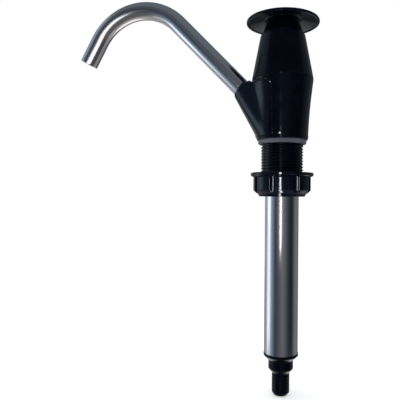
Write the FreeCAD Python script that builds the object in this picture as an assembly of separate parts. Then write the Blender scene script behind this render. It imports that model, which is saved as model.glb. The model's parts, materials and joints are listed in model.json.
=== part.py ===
import FreeCAD, Part
import math
import os
from FreeCAD import Vector

# Water jug hand pump. The pump's axis is Z, +Z up, and the spout leans towards -X.
# The origin is on the axis, in the underside of the deck gasket, where the pump
# sits on the lid of the jug. All sizes are in millimetres.

# ---- clearances ----
slip_gap = 0.05          # radial gap of pieces that slide or turn on each other, or plug together
seat_gap = 0.3           # gap between moving pieces that rest on each other
joint_gap = 0.1          # gap between the fixed pieces' facing shoulders

# ---- deck gasket ----
gasket_height = 4.0
gasket_radius = 21.2
gasket_edge_round = 1.4

# ---- threaded shank ----
thread_radius = 17.8
thread_pitch = 2.54
thread_depth = 1.3
thread_root_width = 1.9
thread_crest_width = 0.7
thread_start = 1.3       # first thread's middle under the gasket
thread_clearance = 0.2
shank_length = 42.0
shank_run_out = 1.5      # plain end below the last thread

# ---- pump head ----
head_base_radius = 21.3
head_waist_radius = 22.6
head_waist_height = 30.0
head_seam_radius = 25.5
head_seam_height = 56.7
head_side_round = 600.0
head_edge_round = 0.5
seam_chamfer = 0.4
collar_radius = 20.0
collar_height = 9.3
chamber_radius = 17.0
chamber_floor = 20.0
barrel_seat = 14.0

# ---- spout branch on the head ----
spout_rise_angle = 45.7
branch_mouth_out = 35.4
branch_mouth_drop = 7.2  # the mouth's middle below the seam
branch_mouth_radius = 9.65
branch_socket_depth = 20.0
branch_side_angle = 64.0
branch_side_arc = 8.0
branch_base_height = 5.0
branch_top_drop = 3.6
branch_skin = 0.4
branch_skin_angle = 84.0
branch_sink = 0.2

# ---- spout tube ----
spout_diameter = 15.9
spout_wall = 1.2
spout_rise_length = 85.8
spout_bend_radius = 50.0
spout_drop_angle = 60.2
spout_tip_length = 23.5
spout_ring_places = (8.5, 14.0)

# ---- head cap ----
cap_top_height = 93.0
cap_top_radius = 18.3
cap_edge_round = 0.5
cap_ceiling_height = 78.0
cap_ceiling_radius = 12.5
gland_lip = 2.0
bushing_radius = 8.0
bushing_length = 6.2
rod_seal_length = 3.0
gland_ring_thickness = 1.2
gland_ring_bite = 1.0

# ---- barrel ----
barrel_diameter = 28.6
barrel_wall = 1.0
barrel_foot_depth = 176.0
barrel_ring_place = 7.5

# ---- static seal rings ----
ring_cord = 1.8
ring_squash_gap = 0.05
ring_groove_extra = 0.6

# ---- foot cap and foot valve ----
foot_lip_radius = 14.65
foot_lip_thickness = 2.1
foot_body_radius = 10.5
foot_body_end = 13.4
foot_taper = 3.6
foot_ring_place = 6.5
spigot_diameter = 15.0
spigot_end = 35.6
spigot_chamfer = 1.8
spigot_chamfer_length = 2.8
spigot_bore_radius = 5.0
valve_chamber_radius = 10.5
foot_valve_seat = 2.0
foot_ball_diameter = 15.0
foot_ball_lift = 4.0
cage_height = 2.2
cage_rim = 1.5
cage_bar_width = 2.4
cage_ledge = 0.8

# ---- piston and its valve ----
piston_foot_gap = 3.5
piston_height = 12.0
piston_radial_gap = 0.3
piston_groove_height = 4.6
piston_groove_depth = 2.2
piston_groove_place = 3.8
cup_lip_depth = 2.4
cup_lip_wall = 0.7
port_count = 6
port_radius = 1.9
port_circle_radius = 7.6
valve_disc_thickness = 1.5
valve_disc_overlap = 0.9
valve_disc_lift = 2.5
valve_sleeve_wall = 1.1
valve_sleeve_gap = 0.3
valve_stop_radius = 8.0
valve_stop_thickness = 1.5

# ---- plunger rod ----
rod_diameter = 8.0
journal_diameter = 6.0
plunger_stroke = 140.0
stop_collar_radius = 7.0
stop_collar_height = 6.0
rod_clip_thickness = 0.8
rod_clip_radius = 5.2
rod_clip_slot = 70.0
rod_clip_depth = 0.6
rod_end_length = 1.2

# ---- knob ----
knob_neck_base_radius = 16.9
knob_neck_top_radius = 13.9
knob_neck_height = 9.4
knob_neck_wall = 2.6
knob_neck_hollow = 6.0
knob_boss_radius = 7.2
knob_rim_radius = 30.8
knob_rim_thickness = 2.6
knob_rim_round = 1.1
knob_rim_lip = 2.0
knob_rim_lip_height = 0.7
knob_crown_height = 6.8
knob_crown_radius = 11.4
knob_socket_depth = 10.6
knob_web = 2.4
knob_screw_diameter = 5.0
knob_screw_length = 16.0
knob_screw_head_radius = 4.6
knob_screw_head_height = 2.8
knob_screw_slot = 1.2
knob_plug_radius = 10.6
knob_plug_seat = 2.2
knob_plug_rise = 2.4
knob_plug_edge = 0.5

# ---- clamp washer and nut ----
washer_top = 23.8        # below the deck gasket's underside
washer_thickness = 3.4
washer_radius = 26.1
washer_round = 0.7
nut_height = 16.6
nut_radius = 24.3
nut_core_radius = 20.6
nut_chamfer_height = 2.6
nut_chamfer_depth = 2.9
nut_foot_height = 2.6
nut_foot_radius = 19.2
nut_lobe_count = 8
nut_groove_angle = 15.0
nut_groove_depth = 2.2
nut_first_lobe = -72.0   # turn of one lobe's middle from +X

# ---- sizes worked out from the ones above ----
thread_root_radius = thread_radius - thread_depth
flank_slope = (thread_root_width - thread_crest_width) / thread_depth
shank_fit_radius = thread_radius + 0.15
barrel_radius = barrel_diameter / 2
barrel_bore_radius = barrel_radius - barrel_wall
barrel_socket_radius = barrel_radius + slip_gap
groove_depth = slip_gap + ring_cord + ring_squash_gap
groove_width = ring_cord + ring_groove_extra
spout_radius = spout_diameter / 2
spout_socket_radius = spout_radius + slip_gap
rod_radius = rod_diameter / 2
journal_radius = journal_diameter / 2
collar_top = head_seam_height + collar_height
branch_mouth_height = head_seam_height - branch_mouth_drop
bushing_top = cap_top_height - gland_lip
bushing_foot = bushing_top - bushing_length
rod_seal_foot = bushing_foot - joint_gap - rod_seal_length
gland_ring_foot = rod_seal_foot - joint_gap - gland_ring_thickness
foot_z = -barrel_foot_depth
seat_z = foot_z - foot_valve_seat
ball_radius = foot_ball_diameter / 2
ball_z = seat_z - spigot_bore_radius + (ball_radius + seat_gap) * math.sqrt(2)
cage_foot = ball_z + ball_radius + foot_ball_lift + seat_gap
plug_top = cage_foot + cage_height
piston_foot = plug_top + piston_foot_gap
piston_top = piston_foot + piston_height
disc_foot = piston_top + seat_gap
stop_foot = disc_foot + valve_disc_thickness + valve_disc_lift + seat_gap
stop_top = stop_foot + valve_stop_thickness
journal_bore_radius = journal_radius + slip_gap
sleeve_radius = journal_bore_radius + valve_sleeve_wall
neck_foot = cap_top_height + seat_gap
rim_foot = neck_foot + knob_neck_height
rim_top = rim_foot + knob_rim_thickness
crown_top = rim_top + knob_crown_height
socket_top = neck_foot + knob_socket_depth
web_top = socket_top + knob_web
plug_seat = crown_top - knob_plug_seat
nut_top = -washer_top - washer_thickness - joint_gap
nut_foot = nut_top - nut_height


def at(radius, degrees, z):
    turn = math.radians(degrees)
    return Vector(radius * math.cos(turn), radius * math.sin(turn), z)


def outline(corners):
    """Close a half section of (radius, z) or (radius, z, round) corners with tangent arcs."""
    points = [Vector(c[0], 0, c[1]) for c in corners]
    rounds = [c[2] if len(c) > 2 else 0 for c in corners]
    count = len(points)
    starts, ends, arcs = [], [], []
    for i in range(count):
        here = points[i]
        back = (points[i - 1] - here).normalize()
        ahead = (points[(i + 1) % count] - here).normalize()
        if not rounds[i]:
            starts.append(here)
            ends.append(here)
            arcs.append(None)
            continue
        half = back.getAngle(ahead) / 2
        reach = rounds[i] / math.tan(half)
        start = here + back * reach
        end = here + ahead * reach
        middle = (back + ahead).normalize()
        centre = here + middle * (rounds[i] / math.sin(half))
        starts.append(start)
        ends.append(end)
        arcs.append(Part.Arc(start, centre - middle * rounds[i], end).toShape())
    edges = []
    for i in range(count):
        if arcs[i]:
            edges.append(arcs[i])
        following = starts[(i + 1) % count]
        if (following - ends[i]).Length > 1e-6:
            edges.append(Part.LineSegment(ends[i], following).toShape())
    return Part.Face(Part.Wire(edges))


def turned(corners):
    return outline(corners).revolve(Vector(0, 0, 0), Vector(0, 0, 1), 360)


def tube(outer, inner, low, high):
    return turned([(inner, low), (outer, low), (outer, high), (inner, high)])


def rod_between(radius, low, high):
    return Part.makeCylinder(radius, high - low, Vector(0, 0, low))


def seal_ring(inside_radius, middle, axis=Vector(0, 0, 1)):
    """A round cord ring around a shaft of the given radius."""
    minor = ring_cord / 2
    return Part.makeTorus(inside_radius + ring_squash_gap + minor, minor, middle, axis)


def thread_ridge(top, half_turns, root, crest, root_width, crest_width):
    """A helical ridge of trapezoid section, run down from angle 0 in half turns of ruled faces."""
    corners = [(root, -root_width / 2), (crest, -crest_width / 2),
               (crest, crest_width / 2), (root, root_width / 2)]
    half_pitch = thread_pitch / 2
    half_helices = [Part.makeHelix(thread_pitch, half_pitch, r) for r, z in corners]
    faces = []
    for step in range(1, half_turns + 1):
        edges = []
        for (r, z), helix in zip(corners, half_helices):
            edge = helix.copy()
            edge.rotate(Vector(0, 0, 0), Vector(0, 0, 1), -180 * step)
            edge.translate(Vector(0, 0, top + z - half_pitch * step))
            edges.append(edge.Edges[0])
        for one, other in zip(edges, edges[1:] + edges[:1]):
            faces.append(Part.makeRuledSurface(one, other))
    for step in (0, half_turns):
        ends = [at(r, -180 * step, top + z - half_pitch * step) for r, z in corners]
        faces.append(Part.Face(Part.makePolygon(ends + ends[:1])))
    return solid_of(faces)


def solid_of(faces):
    shell = Part.Shell(faces)
    shell.sewShape()
    solid = Part.Solid(shell)
    if solid.Volume < 0:
        solid.reverse()
    return solid


# ---- spout line, shared by the head's branch and the spout ----
rise = math.radians(spout_rise_angle)
drop = math.radians(spout_drop_angle)
branch_mouth = Vector(-branch_mouth_out, 0, branch_mouth_height)
spout_way = Vector(-math.cos(rise), 0, math.sin(rise))
spout_up = Vector(math.sin(rise), 0, math.cos(rise))
side_way = Vector(0, 1, 0)


def mouth_point(degrees):
    turn = math.radians(degrees)
    return (branch_mouth + spout_up * (branch_mouth_radius * math.cos(turn))
            + side_way * (branch_mouth_radius * math.sin(turn)))


def mouth_arc(first, last):
    return Part.Arc(mouth_point(first), mouth_point((first + last) / 2), mouth_point(last)).toShape()


def head_arc(radius, z, first, last):
    return Part.Arc(at(radius, first, z), at(radius, (first + last) / 2, z), at(radius, last, z)).toShape()


def head_radius(z):
    """The head's outer radius at a height, along its two straight flanks."""
    if z < head_waist_height:
        share = (z - gasket_height) / (head_waist_height - gasket_height)
        return head_base_radius + share * (head_waist_radius - head_base_radius)
    share = (z - head_waist_height) / (head_seam_height - head_waist_height)
    return head_waist_radius + share * (head_seam_radius - head_waist_radius)


def branch_block():
    """The wedge from the head's front to the round mouth of the spout socket."""
    low = branch_base_height
    high = head_seam_height - branch_top_drop
    low_radius = head_radius(low) + branch_skin - branch_sink
    high_radius = head_radius(high) + branch_skin - branch_sink
    side_high = 90 - branch_side_arc
    side_low = 90 + branch_side_arc
    left = 180 + branch_side_angle
    right = 180 - branch_side_angle
    base_arc = head_arc(low_radius, low, right, left)
    top_arc = head_arc(high_radius, high, right, left)
    corners = {(z, a): at(r, a, z) for z, r in ((low, low_radius), (high, high_radius))
               for a in (left, right)}
    right_line = Part.LineSegment(corners[(low, right)], corners[(high, right)]).toShape()
    left_line = Part.LineSegment(corners[(low, left)], corners[(high, left)]).toShape()
    mouth_edges = [mouth_arc(side_low, 360 - side_low), mouth_arc(side_high, -side_high),
                   mouth_arc(side_low, side_high), mouth_arc(-side_low, -side_high)]
    head_edges = [base_arc, top_arc, right_line, left_line]
    faces = [Part.makeRuledSurface(one, other) for one, other in zip(mouth_edges, head_edges)]
    faces.append(Part.Face(Part.Wire(Part.__sortEdges__(mouth_edges))))
    for arc, z in ((base_arc, low), (top_arc, high)):
        chord = Part.LineSegment(corners[(z, right)], corners[(z, left)]).toShape()
        faces.append(Part.Face(Part.Wire([arc, chord])))
    back = [corners[(low, right)], corners[(low, left)], corners[(high, left)], corners[(high, right)]]
    faces.append(Part.Face(Part.makePolygon(back + back[:1])))
    return solid_of(faces)


def branch_saddle():
    """The raised skin that carries the branch round the head's front half."""
    high = head_seam_height - branch_top_drop
    low = branch_base_height
    face = outline([
        (chamber_radius + 1, low), (head_radius(low) + branch_skin, low, branch_skin / 2),
        (head_waist_radius + branch_skin, head_waist_height, head_side_round),
        (head_radius(high) + branch_skin, high, branch_skin / 2), (chamber_radius + 1, high),
    ])
    face.rotate(Vector(0, 0, 0), Vector(0, 0, 1), 180 - branch_skin_angle)
    return face.revolve(Vector(0, 0, 0), Vector(0, 0, 1), 2 * branch_skin_angle)


def head_body():
    shell = turned([
        (0, gasket_height), (head_base_radius, gasket_height, head_edge_round),
        (head_waist_radius, head_waist_height, head_side_round),
        (head_seam_radius, head_seam_height, seam_chamfer),
        (collar_radius, head_seam_height), (collar_radius, collar_top, head_edge_round),
        (0, collar_top),
    ])
    neck = rod_between(thread_radius, 0, gasket_height + 1)
    shank = rod_between(thread_root_radius, -shank_length, 1)
    body = shell.fuse([neck, shank, branch_saddle(), branch_block()])
    run = shank_length - thread_start - shank_run_out
    bite = thread_depth / 4
    ridge = thread_ridge(-thread_start, int(2 * run / thread_pitch), thread_root_radius - bite,
                         thread_radius, thread_root_width + flank_slope * bite, thread_crest_width)
    body = body.fuse(ridge)
    barrel_socket = rod_between(barrel_socket_radius, -shank_length - 1, barrel_seat)
    throat = rod_between(barrel_bore_radius, 0, collar_top)
    chamber = rod_between(chamber_radius, chamber_floor, collar_top + 1)
    ring_groove = rod_between(barrel_radius + groove_depth, barrel_ring_place - groove_width / 2,
                              barrel_ring_place + groove_width / 2)
    collar_groove = tube(collar_radius + 1, collar_radius - groove_depth,
                         head_seam_height + 1, head_seam_height + 1 + groove_width)
    socket_foot = branch_mouth - spout_way * branch_socket_depth
    socket = Part.makeCylinder(spout_socket_radius, branch_socket_depth + 5, socket_foot, spout_way)
    way_length = branch_mouth_out / math.cos(rise) - branch_socket_depth + 1
    way = Part.makeCylinder(spout_radius - spout_wall, way_length, socket_foot, spout_way * -1)
    cuts = [barrel_socket, throat, chamber, ring_groove, collar_groove, socket, way]
    for place in spout_ring_places:
        groove_foot = branch_mouth - spout_way * (place + groove_width / 2)
        cuts.append(Part.makeCylinder(spout_radius + groove_depth, groove_width, groove_foot, spout_way))
    return body.cut(cuts)


def deck_gasket():
    return turned([
        (shank_fit_radius, 0), (gasket_radius, 0, gasket_edge_round),
        (gasket_radius, gasket_height), (shank_fit_radius, gasket_height),
    ])


def head_cap():
    recess = collar_radius + slip_gap * 2
    recess_top = collar_top + joint_gap
    bore = bushing_radius + slip_gap
    ring_slot = bore + gland_ring_bite
    lip_bore = rod_radius + 0.6
    slot_low = gland_ring_foot - joint_gap
    slot_high = gland_ring_foot + gland_ring_thickness + joint_gap
    return turned([
        (recess, head_seam_height + joint_gap),
        (head_seam_radius, head_seam_height + joint_gap, seam_chamfer),
        (cap_top_radius, cap_top_height, cap_edge_round),
        (lip_bore, cap_top_height), (lip_bore, bushing_top), (bore, bushing_top),
        (bore, slot_high), (ring_slot, slot_high), (ring_slot, slot_low),
        (bore, slot_low), (bore, cap_ceiling_height),
        (cap_ceiling_radius, cap_ceiling_height), (chamber_radius, recess_top),
        (recess, recess_top),
    ])


def cap_o_ring():
    middle = head_seam_height + 1 + groove_width / 2
    return seal_ring(collar_radius - groove_depth, Vector(0, 0, middle))


def rod_bushing():
    return tube(bushing_radius, rod_radius + slip_gap, bushing_foot, bushing_top - joint_gap)


def rod_seal():
    lip = rod_radius + slip_gap
    back = bushing_foot - joint_gap
    groove = (bushing_radius + lip) / 2
    return turned([
        (lip, rod_seal_foot), (groove - 0.6, rod_seal_foot), (groove - 0.3, back - 1.2),
        (groove + 0.3, back - 1.2), (groove + 0.6, rod_seal_foot),
        (bushing_radius, rod_seal_foot), (bushing_radius, back), (lip, back),
    ])


def gland_ring():
    return tube(bushing_radius + gland_ring_bite - slip_gap, rod_radius + 1.0,
                gland_ring_foot, gland_ring_foot + gland_ring_thickness)


def spout_core(radius):
    """A round bar along the spout: straight rise, one bend over the top, straight tip."""
    foot = branch_mouth - spout_way * (branch_socket_depth - joint_gap)
    rise_length = spout_rise_length + branch_socket_depth - joint_gap
    bend_start = foot + spout_way * rise_length
    bend_centre = bend_start - spout_up * spout_bend_radius
    tip_way = Vector(-math.cos(drop), 0, -math.sin(drop))
    tip_start = bend_centre + Vector(-math.sin(drop), 0, math.cos(drop)) * spout_bend_radius
    disc = Part.Face(Part.Wire(Part.makeCircle(radius, bend_start, spout_way)))
    bend = disc.revolve(bend_centre, Vector(0, -1, 0), spout_rise_angle + spout_drop_angle)
    riser = Part.makeCylinder(radius, rise_length, foot, spout_way)
    tip = Part.makeCylinder(radius, spout_tip_length, tip_start, tip_way)
    return riser.fuse([bend, tip]).removeSplitter()


def spout_tube():
    return spout_core(spout_radius).cut(spout_core(spout_radius - spout_wall))


def spout_o_rings():
    return Part.makeCompound([seal_ring(spout_radius, branch_mouth - spout_way * place, spout_way)
                              for place in spout_ring_places])


def barrel_tube():
    return tube(barrel_radius, barrel_bore_radius, foot_z, barrel_seat - joint_gap)


def barrel_o_ring():
    return seal_ring(barrel_radius, Vector(0, 0, barrel_ring_place))


def foot_cap():
    plug_radius = barrel_bore_radius - slip_gap
    lip_foot = foot_z - foot_lip_thickness
    cone_foot = lip_foot - (foot_lip_radius - foot_body_radius)
    spigot_radius = spigot_diameter / 2
    ledge = valve_chamber_radius + cage_ledge
    ring_low = foot_z + foot_ring_place - groove_width / 2
    ring_high = ring_low + groove_width
    groove_radius = plug_radius + slip_gap - groove_depth
    return turned([
        (spigot_bore_radius, foot_z - spigot_end),
        (spigot_radius - spigot_chamfer, foot_z - spigot_end),
        (spigot_radius, foot_z - spigot_end + spigot_chamfer_length, 1.0),
        (spigot_radius, foot_z - foot_body_end - foot_taper, 1.0),
        (foot_body_radius, foot_z - foot_body_end, 0.5),
        (foot_body_radius, cone_foot, 0.5), (foot_lip_radius, lip_foot, 0.5),
        (foot_lip_radius, foot_z - joint_gap), (plug_radius, foot_z - joint_gap),
        (plug_radius, ring_low), (groove_radius, ring_low), (groove_radius, ring_high),
        (plug_radius, ring_high), (plug_radius, plug_top, 0.4), (ledge, plug_top),
        (ledge, cage_foot - joint_gap), (valve_chamber_radius, cage_foot - joint_gap),
        (valve_chamber_radius, seat_z + valve_chamber_radius - spigot_bore_radius),
        (spigot_bore_radius, seat_z),
    ])


def foot_o_ring():
    return seal_ring(barrel_bore_radius - groove_depth, Vector(0, 0, foot_z + foot_ring_place))


def foot_valve_cage():
    """A rim in the foot cap's mouth with two crossed bars over the ball."""
    rim_radius = valve_chamber_radius + cage_ledge - slip_gap
    rim = tube(rim_radius, rim_radius - cage_rim, cage_foot, plug_top)
    bars = []
    for turn in (0, 90):
        bar = Part.makeBox(2 * rim_radius - cage_rim, cage_bar_width, cage_height,
                           Vector(cage_rim / 2 - rim_radius, -cage_bar_width / 2, cage_foot))
        bar.rotate(Vector(0, 0, 0), Vector(0, 0, 1), turn)
        bars.append(bar)
    return rim.fuse(bars).removeSplitter()


def foot_valve_ball():
    return Part.makeSphere(ball_radius, Vector(0, 0, ball_z))


def piston_body():
    radius = barrel_bore_radius - piston_radial_gap
    groove_low = piston_foot + piston_groove_place
    groove_high = groove_low + piston_groove_height
    body = turned([
        (journal_bore_radius, piston_foot), (radius, piston_foot, 0.5),
        (radius, groove_low), (radius - piston_groove_depth, groove_low),
        (radius - piston_groove_depth, groove_high), (radius, groove_high),
        (radius, piston_top, 0.5), (journal_bore_radius, piston_top),
    ])
    ports = [Part.makeCylinder(port_radius, piston_height + 2,
                               at(port_circle_radius, 360 / port_count * i, piston_foot - 1))
             for i in range(port_count)]
    return body.cut(ports)


def piston_cup():
    """A soft ring in the piston's groove, with its lip opening upwards."""
    outer = barrel_bore_radius - slip_gap
    inner = barrel_bore_radius - piston_radial_gap - piston_groove_depth + slip_gap
    low = piston_foot + piston_groove_place + joint_gap
    high = low + piston_groove_height - 2 * joint_gap
    lip_foot = high - cup_lip_depth
    middle = (outer + inner) / 2
    return turned([
        (inner, low), (outer - 0.3, low), (outer, low + 0.6), (outer, high),
        (outer - cup_lip_wall / 2, high), (middle + 0.15, lip_foot), (middle - 0.15, lip_foot),
        (inner + cup_lip_wall / 2, high), (inner, high),
    ])


def piston_valve_disc():
    radius = port_circle_radius + port_radius + valve_disc_overlap
    return tube(radius, sleeve_radius + valve_sleeve_gap, disc_foot, disc_foot + valve_disc_thickness)


def valve_stop():
    """The sleeve that the valve disc slides on, with the flange that ends its lift."""
    return turned([
        (journal_bore_radius, piston_top + joint_gap), (sleeve_radius, piston_top + joint_gap),
        (sleeve_radius, stop_foot), (valve_stop_radius, stop_foot),
        (valve_stop_radius, stop_top), (journal_bore_radius, stop_top),
    ])


def clip_groove():
    high = piston_foot - joint_gap
    low = high - rod_clip_thickness
    return low, high


def plunger_rod():
    low, high = clip_groove()
    shoulder = stop_top + joint_gap
    top = socket_top - joint_gap
    thread_hole = knob_screw_diameter / 2 + slip_gap
    hole_foot = web_top + joint_gap - knob_screw_length - 1
    waist = journal_radius - rod_clip_depth
    return turned([
        (0, low - rod_end_length), (journal_radius, low - rod_end_length, 0.4),
        (journal_radius, low - slip_gap), (waist, low - slip_gap),
        (waist, high + slip_gap), (journal_radius, high + slip_gap),
        (journal_radius, shoulder), (rod_radius, shoulder, 0.3), (rod_radius, top),
        (thread_hole, top), (thread_hole, hole_foot), (0, hole_foot),
    ])


def rod_clip():
    """An open retaining ring in the groove at the rod's foot."""
    low, high = clip_groove()
    ring = tube(rod_clip_radius, journal_radius - rod_clip_depth + slip_gap, low, high)
    wedge = Part.makePolygon([Vector(0, 0, low - 1), at(3 * rod_clip_radius, -rod_clip_slot / 2, low - 1),
                              at(3 * rod_clip_radius, rod_clip_slot / 2, low - 1), Vector(0, 0, low - 1)])
    return ring.cut(Part.Face(wedge).extrude(Vector(0, 0, rod_clip_thickness + 2)))


def stop_collar():
    """Meets the gland when the plunger is fully up."""
    top = gland_ring_foot - seat_gap - plunger_stroke
    return turned([
        (rod_radius + slip_gap, top - stop_collar_height),
        (stop_collar_radius, top - stop_collar_height, 0.6),
        (stop_collar_radius, top, 0.6), (rod_radius + slip_gap, top),
    ])


def knob():
    boss_socket = rod_radius + slip_gap
    screw_hole = knob_screw_diameter / 2 + 2 * slip_gap
    head_hole = knob_screw_head_radius + 0.3
    hollow_top = neck_foot + knob_neck_hollow
    slope = (knob_neck_base_radius - knob_neck_top_radius) / knob_neck_height
    hollow_low_radius = knob_neck_base_radius - knob_neck_wall
    hollow_top_radius = hollow_low_radius - slope * knob_neck_hollow
    lip_inner = knob_rim_radius - knob_rim_lip
    underside = rim_foot + knob_rim_lip_height
    plug_bore = knob_plug_radius + slip_gap
    return turned([
        (boss_socket, neck_foot), (knob_boss_radius, neck_foot), (knob_boss_radius, hollow_top, 0.8),
        (hollow_top_radius, hollow_top, 0.8), (hollow_low_radius, neck_foot),
        (knob_neck_base_radius, neck_foot, 0.4), (knob_neck_top_radius, underside, 2.0),
        (lip_inner - 0.6, underside, 0.5), (lip_inner, rim_foot, 0.3),
        (knob_rim_radius, rim_foot, knob_rim_round), (knob_rim_radius, rim_top, knob_rim_round),
        (knob_rim_radius - 4, rim_top + 0.9, 8.0),
        (knob_crown_radius, crown_top, 0.5), (plug_bore, crown_top), (plug_bore, plug_seat),
        (head_hole, plug_seat), (head_hole, web_top), (screw_hole, web_top),
        (screw_hole, socket_top), (boss_socket, socket_top),
    ])


def knob_screw():
    radius = knob_screw_diameter / 2
    foot = web_top + joint_gap
    top = foot + knob_screw_head_height
    screw = turned([
        (0, foot - knob_screw_length), (radius, foot - knob_screw_length, 0.6), (radius, foot),
        (knob_screw_head_radius, foot), (knob_screw_head_radius, top, 1.2), (0, top),
    ])
    for turn in (0, 90):
        slot = Part.makeBox(knob_screw_head_radius, knob_screw_slot, knob_screw_head_height,
                            Vector(-knob_screw_head_radius / 2, -knob_screw_slot / 2, foot + 1.2))
        slot.rotate(Vector(0, 0, 0), Vector(0, 0, 1), turn)
        screw = screw.cut(slot)
    return screw


def knob_plug():
    """A low domed plug over the knob's screw."""
    foot = plug_seat + joint_gap
    edge = crown_top + knob_plug_edge
    apex = crown_top + knob_plug_rise
    dome_radius = (knob_plug_radius ** 2 + (apex - edge) ** 2) / (2 * (apex - edge))
    body = rod_between(knob_plug_radius, foot, apex)
    dome = Part.makeSphere(dome_radius, Vector(0, 0, apex - dome_radius))
    return body.common(dome)


def clamp_washer():
    low = -washer_top - washer_thickness
    return turned([
        (shank_fit_radius, low), (nut_radius, low), (washer_radius, low + 1.0, washer_round),
        (washer_radius, -washer_top, washer_round), (shank_fit_radius, -washer_top),
    ])


def mounting_nut():
    bore = thread_root_radius + thread_clearance
    foot_edge = nut_foot + nut_foot_height
    blank = turned([
        (bore, nut_foot), (nut_foot_radius, nut_foot, 0.5), (nut_core_radius, foot_edge),
        (nut_radius - nut_chamfer_depth, foot_edge, 0.5),
        (nut_radius, foot_edge + nut_chamfer_height, 1.0),
        (nut_radius, nut_top, 0.6), (bore, nut_top),
    ])
    pitch_angle = 360 / nut_lobe_count
    half_chord = nut_radius * math.sin(math.radians(nut_groove_angle / 2))
    cutter_radius = (half_chord ** 2 + nut_groove_depth ** 2) / (2 * nut_groove_depth)
    cutter_place = nut_radius - nut_groove_depth + cutter_radius
    for i in range(nut_lobe_count):
        middle = at(cutter_place, nut_first_lobe + pitch_angle * (i + 0.5), foot_edge)
        blank = blank.cut(Part.makeCylinder(cutter_radius, nut_height, middle))
    # the groove follows the shank's helix, from a whole number of pitches below its first thread
    bite = thread_depth / 4
    pitches = math.floor((-nut_top - thread_start) / thread_pitch) - 1
    half_turns = 2 * (math.ceil(nut_height / thread_pitch) + 3)
    root_width = thread_root_width + flank_slope * bite + 2 * thread_clearance
    crest_width = thread_crest_width + (2 - flank_slope) * thread_clearance
    groove = thread_ridge(-thread_start - pitches * thread_pitch, half_turns,
                          thread_root_radius - bite, thread_radius + thread_clearance,
                          root_width, crest_width)
    return blank.cut(groove)


parts = {
    "head_body": head_body,
    "head_cap": head_cap,
    "cap_o_ring": cap_o_ring,
    "rod_bushing": rod_bushing,
    "rod_seal": rod_seal,
    "gland_ring": gland_ring,
    "spout_tube": spout_tube,
    "spout_o_rings": spout_o_rings,
    "deck_gasket": deck_gasket,
    "barrel_tube": barrel_tube,
    "barrel_o_ring": barrel_o_ring,
    "foot_cap": foot_cap,
    "foot_o_ring": foot_o_ring,
    "foot_valve_cage": foot_valve_cage,
    "foot_valve_ball": foot_valve_ball,
    "piston_body": piston_body,
    "piston_cup": piston_cup,
    "piston_valve_disc": piston_valve_disc,
    "valve_stop": valve_stop,
    "plunger_rod": plunger_rod,
    "rod_clip": rod_clip,
    "stop_collar": stop_collar,
    "knob": knob,
    "knob_screw": knob_screw,
    "knob_plug": knob_plug,
    "clamp_washer": clamp_washer,
    "mounting_nut": mounting_nut,
}

os.makedirs("parts", exist_ok=True)
for name, build in parts.items():
    shape = build()
    box = shape.optimalBoundingBox()
    print("%-18s solids %d valid %s volume %9.1f  z %7.1f %7.1f"
          % (name, len(shape.Solids), shape.isValid(), shape.Volume, box.ZMin, box.ZMax))
    shape.exportStep("parts/%s.step" % name)
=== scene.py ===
import json
import math
import bpy
import numpy as np
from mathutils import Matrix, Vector


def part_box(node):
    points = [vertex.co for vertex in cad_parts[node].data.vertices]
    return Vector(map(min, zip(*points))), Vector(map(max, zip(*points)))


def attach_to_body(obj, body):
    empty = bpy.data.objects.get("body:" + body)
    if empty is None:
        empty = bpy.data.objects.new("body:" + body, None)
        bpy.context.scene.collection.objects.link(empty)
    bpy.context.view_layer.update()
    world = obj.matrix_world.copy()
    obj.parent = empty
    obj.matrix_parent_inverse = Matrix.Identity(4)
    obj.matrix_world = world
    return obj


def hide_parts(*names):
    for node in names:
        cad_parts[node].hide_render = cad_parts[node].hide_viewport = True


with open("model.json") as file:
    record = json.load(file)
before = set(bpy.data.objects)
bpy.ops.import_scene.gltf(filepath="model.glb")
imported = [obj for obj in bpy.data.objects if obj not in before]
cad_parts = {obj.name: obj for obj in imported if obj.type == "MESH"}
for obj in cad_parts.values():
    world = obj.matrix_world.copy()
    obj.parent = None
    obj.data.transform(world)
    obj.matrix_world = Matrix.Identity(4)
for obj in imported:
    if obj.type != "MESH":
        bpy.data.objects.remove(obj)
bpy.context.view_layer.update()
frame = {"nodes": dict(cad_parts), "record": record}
print("stage: frame loaded,", len(frame["nodes"]), "nodes")

mm = 0.001
tiny = 1e-9


class Settings(dict):
    # a dictionary whose values are read by name
    __getattr__ = dict.__getitem__


# node helpers

class Signal:
    # a node's output that takes arithmetic, so that a rule reads as a formula
    def __init__(self, socket):
        self.socket = socket
        self.tree = socket.id_data

    def math(self, operation, *others, clamp=False):
        return mathNode(self.tree, operation, self, *others, clamp=clamp)

    def __add__(self, other):
        return self.math("ADD", other)

    def __sub__(self, other):
        return self.math("SUBTRACT", other)

    def __rsub__(self, other):
        return mathNode(self.tree, "SUBTRACT", other, self)

    def __mul__(self, other):
        return self.math("MULTIPLY", other)

    def __truediv__(self, other):
        return self.math("DIVIDE", other)

    def __rtruediv__(self, other):
        return mathNode(self.tree, "DIVIDE", other, self)


def addNode(tree, kind, **settings):
    node = tree.nodes.new(kind)
    for name, value in settings.items():
        setattr(node, name, value)
    return node


def attach(socket, value):
    # links a signal, or sets a constant
    if isinstance(value, Signal):
        socket.id_data.links.new(value.socket, socket)
    else:
        socket.default_value = value


def feed(node, **values):
    # attaches values to a node's inputs by name; an underscore stands for a space
    for name, value in values.items():
        attach(node.inputs[name.replace("_", " ")], value)
    return node


def signals(node):
    return {socket.name: Signal(socket) for socket in node.outputs}


def mathNode(tree, operation, *values, clamp=False):
    node = addNode(tree, "ShaderNodeMath", operation=operation, use_clamp=clamp)
    for socket, value in zip(node.inputs, values):
        attach(socket, value)
    return Signal(node.outputs[0])


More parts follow.
